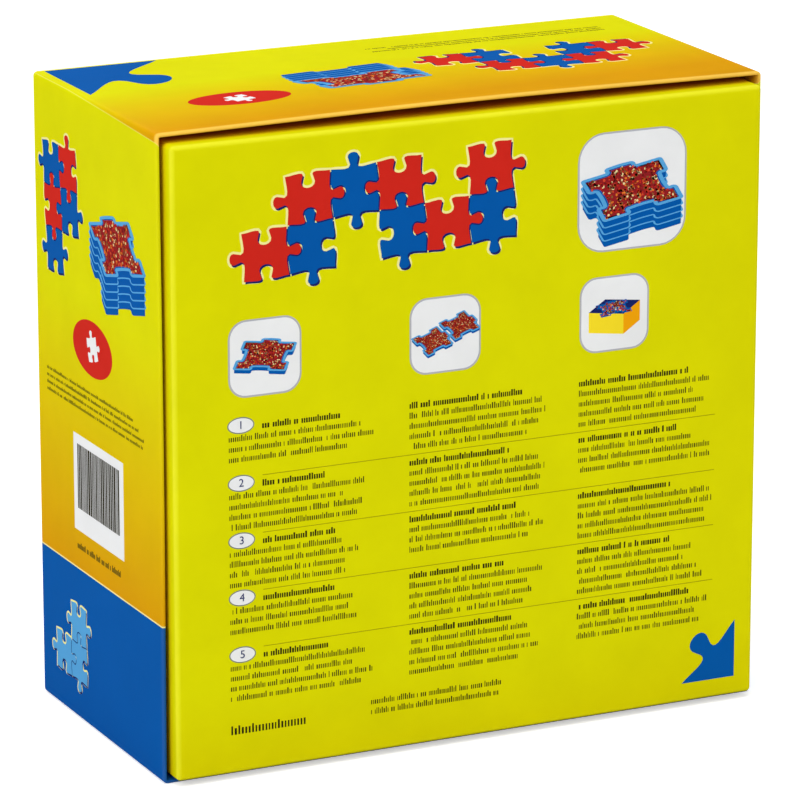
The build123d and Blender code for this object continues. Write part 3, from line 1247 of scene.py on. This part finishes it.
def badge(name, face, middle, width, height):  # a red oval with a white jigsaw piece on it
    printed(name + "Oval", face, "red", 0, [oval(*middle, width, height)])
    size = height * 0.42
    piece = jigsawPiece(middle[0] - size / 2, middle[1] - size / 2, size, (-1, 1, 1, -1))
    printed(name + "Piece", face, "white", 1, [turned(piece, 15, middle)])


def plate(name, face, middle, width, height):  # plain white, for the bars of a label
    printed(name, face, "white", 0, [slab(*middle, width, height)])


def cornerPiece(name, face, corner, size):  # a blue corner at the lower right, with a jigsaw edge
    a, b = corner
    end = (a - size, b)
    printed(name, face, "blue", 0, [knobSide((a, b + size), end, 1, 9) + [end, corner]])


frontPrint = {
    "columns": (17.0, 74.5, 130.0),
    "columnWidth": 46.0,
    "rowsFrom": 104.5,
    "rowPitch": 17.3,
    "rows": 5,
    "indent": 10.5,
    "tileSize": 23.0,
    "tileHeight": 125.0,
    "single": {"width": 16.5, "spin": -14, "seed": 2},
    "linked": {"width": 10.5, "spin": -60, "squash": 0.62},
    "boxed": 17,
    "headShort": (6, 16),  # how much shorter than its column a heading may be
    "ruleRise": 2.6,
    "ruleHeight": 0.2,
    "numberAt": (3.8, 0.9),  # its oval's middle, from the start of a row
    "numberSize": 3.4,
    "oval": (7.8, 4.3),
    "ovalEdge": (8.5, 5.0),
    "seed": 41,
    "largeTile": {"middle": (147, 162), "size": 36},
    "largeStack": {"middle": (147, 154), "width": 27, "count": 4, "seed": 4},
    "chain": {
        "cells": [(0, 0, 0), (1, 0, 1), (1, 1, 0), (2, 1, 1), (3, 1, 0), (3, 0, 1), (4, 0, 0), (5, 0, 1),
                  (5, 1, 0)],
        "size": 14.5, "origin": (22.0, 147.5), "angle": 3.0, "colours": ("red", "blue"),
    },
    "foot": [(17, 13, 1, 24, 5, footPrint), (62, 15.5, 2, 44, 9, {})],
    "corner": {"corner": (184, 6), "size": 18},
}


def printFront(plan):
    cluster("frontChain", "front", **plan["chain"])
    tile("largeTile", "front", **plan["largeTile"])
    trayPicture("largeStack", "front", **plan["largeStack"])
    middles = [(left + plan["tileSize"] / 2, plan["tileHeight"]) for left in plan["columns"]]
    for number, middle in enumerate(middles):
        tile(f"tile{number + 1}", "front", middle, plan["tileSize"])
    (a, b), (c, d), (e, f) = middles
    trayPicture("singleTray", "front", (a, b - 1), **plan["single"])
    trayPicture("linkedTrayLeft", "front", (c - 4.2, d - 2.4), seed=3, **plan["linked"])
    trayPicture("linkedTrayRight", "front", (c + 4.6, d + 1.4), seed=5, **plan["linked"])
    boxPicture("boxedTrays", "front", (e, f + 1), plan["boxed"])

    heads, lines, rules, ovals, edges, numbers = [], [], [], [], [], []
    first, width, indent = plan["columns"][0], plan["columnWidth"], plan["indent"]
    ruleStart, ruleEnd = first + indent, plan["columns"][-1] + width
    random.seed(plan["seed"])
    for row in range(plan["rows"]):
        height = plan["rowsFrom"] - row * plan["rowPitch"]
        for number, left in enumerate(plan["columns"]):
            start = 0.0 if number else indent
            length = width - start - random.uniform(*plan["headShort"])
            heads.append((left + start, height, 1, length, 11 * row + number, headPrint))
            count = 4 if (row + number) % 3 else 3
            seed = 100 + 17 * row + 5 * number
            lines.append((left, height - smallPrint["Pitch"], count, width, seed, {}))
        if row:
            middle = ((ruleStart + ruleEnd) / 2, height + plan["ruleRise"])
            rules.append(slab(*middle, ruleEnd - ruleStart, plan["ruleHeight"]))
        spot = (first + plan["numberAt"][0], height + plan["numberAt"][1])
        edges.append(oval(*spot, *plan["ovalEdge"]))
        ovals.append(oval(*spot, *plan["oval"]))
        numbers.append((str(row + 1), *spot, plan["numberSize"]))
    barText("frontHeadings", "front", "bold", heads)
    barText("frontLines", "front", "text", lines)
    printed("frontRules", "front", "rule", 0, rules)
    printed("frontOvalEdges", "front", "darkGrey", 0, edges)
    printed("frontOvals", "front", "white", 1, ovals)
    plainNumbers("frontNumbers", "front", "navy", 3, numbers)
    barText("frontFoot", "front", "bold", plan["foot"])
    cornerPiece("frontCorner", "front", **plan["corner"])


# For each other face, what lies on it: its name, what draws it, and where and how large
sidePrint = [
    ("Cluster", cluster, {"cells": [(0, 0, 1), (0, 1, 0), (1, 1, 1), (0, 2, 1), (1, 2, 0)], "size": 13.0,
                          "origin": (10, 136), "angle": 4.0, "colours": ("red", "blue")}),
    ("Stack", trayPicture,
     {"middle": (64, 142), "width": 32, "count": 5, "spin": 24, "squash": 0.5, "seed": 6}),
    ("Badge", badge, {"middle": (44, 119), "width": 30, "height": 17}),
    ("Lines", barText, {"tint": "text", "blocks": [(8, 105, 4, 78, 31, finePrint)]}),
    ("Label", plate, {"middle": (47, 75), "width": 38, "height": 30}),
    ("LabelBars", barText, {"tint": "bold", "blocks": [(31, 77, 1, 32, 17, labelBars)]}),
    ("Foot", barText, {"tint": "text", "blocks": [(30, 55, 1, 34, 3, headPrint)]}),
    ("Foot", cluster, {"cells": [(0, 0, 0), (1, 0, 0), (1, 1, 0)], "size": 12.0, "origin": (12, 12),
                       "angle": 0.0, "colours": ("lightBlue",)}),
]
topPrint = [
    ("Chain", cluster,
     {"cells": [(0, 0, 0), (1, 0, 1), (1, 1, 0), (2, 1, 1), (3, 1, 0), (3, 0, 1), (4, 0, 0)],
      "size": 14.0, "origin": (14, 36), "angle": -2.0, "colours": ("red", "blue")}),
    ("Stack", trayPicture,
     {"middle": (112, 44), "width": 34, "count": 4, "spin": 12, "squash": 0.45, "seed": 8}),
    ("Badge", badge, {"middle": (155, 62), "width": 32, "height": 16}),
    ("Lines", barText, {"tint": "text", "blocks": [(14, 20, 3, 92, 23, finePrint)]}),
    ("Corner", cornerPiece, {"corner": (192, 2.5), "size": 36}),
]
backPrint = [
    ("Cluster", cluster, {"cells": [(0, 0, 0), (1, 0, 1), (0, 1, 1), (1, 1, 0), (2, 1, 1)], "size": 34.0,
                          "origin": (32, 84), "angle": 3.0, "colours": ("red", "blue")}),
    ("Stack", trayPicture,
     {"middle": (98, 32), "width": 92, "count": 6, "spin": 20, "squash": 0.5, "seed": 10}),
    ("Badge", badge, {"middle": (164, 72), "width": 36, "height": 22}),
]

printFront(frontPrint)
for face, plan in {"left": sidePrint, "right": sidePrint, "top": topPrint, "back": backPrint}.items():
    for name, draw, settings in plan:
        draw(face + name, face, **settings)
print("faces printed")
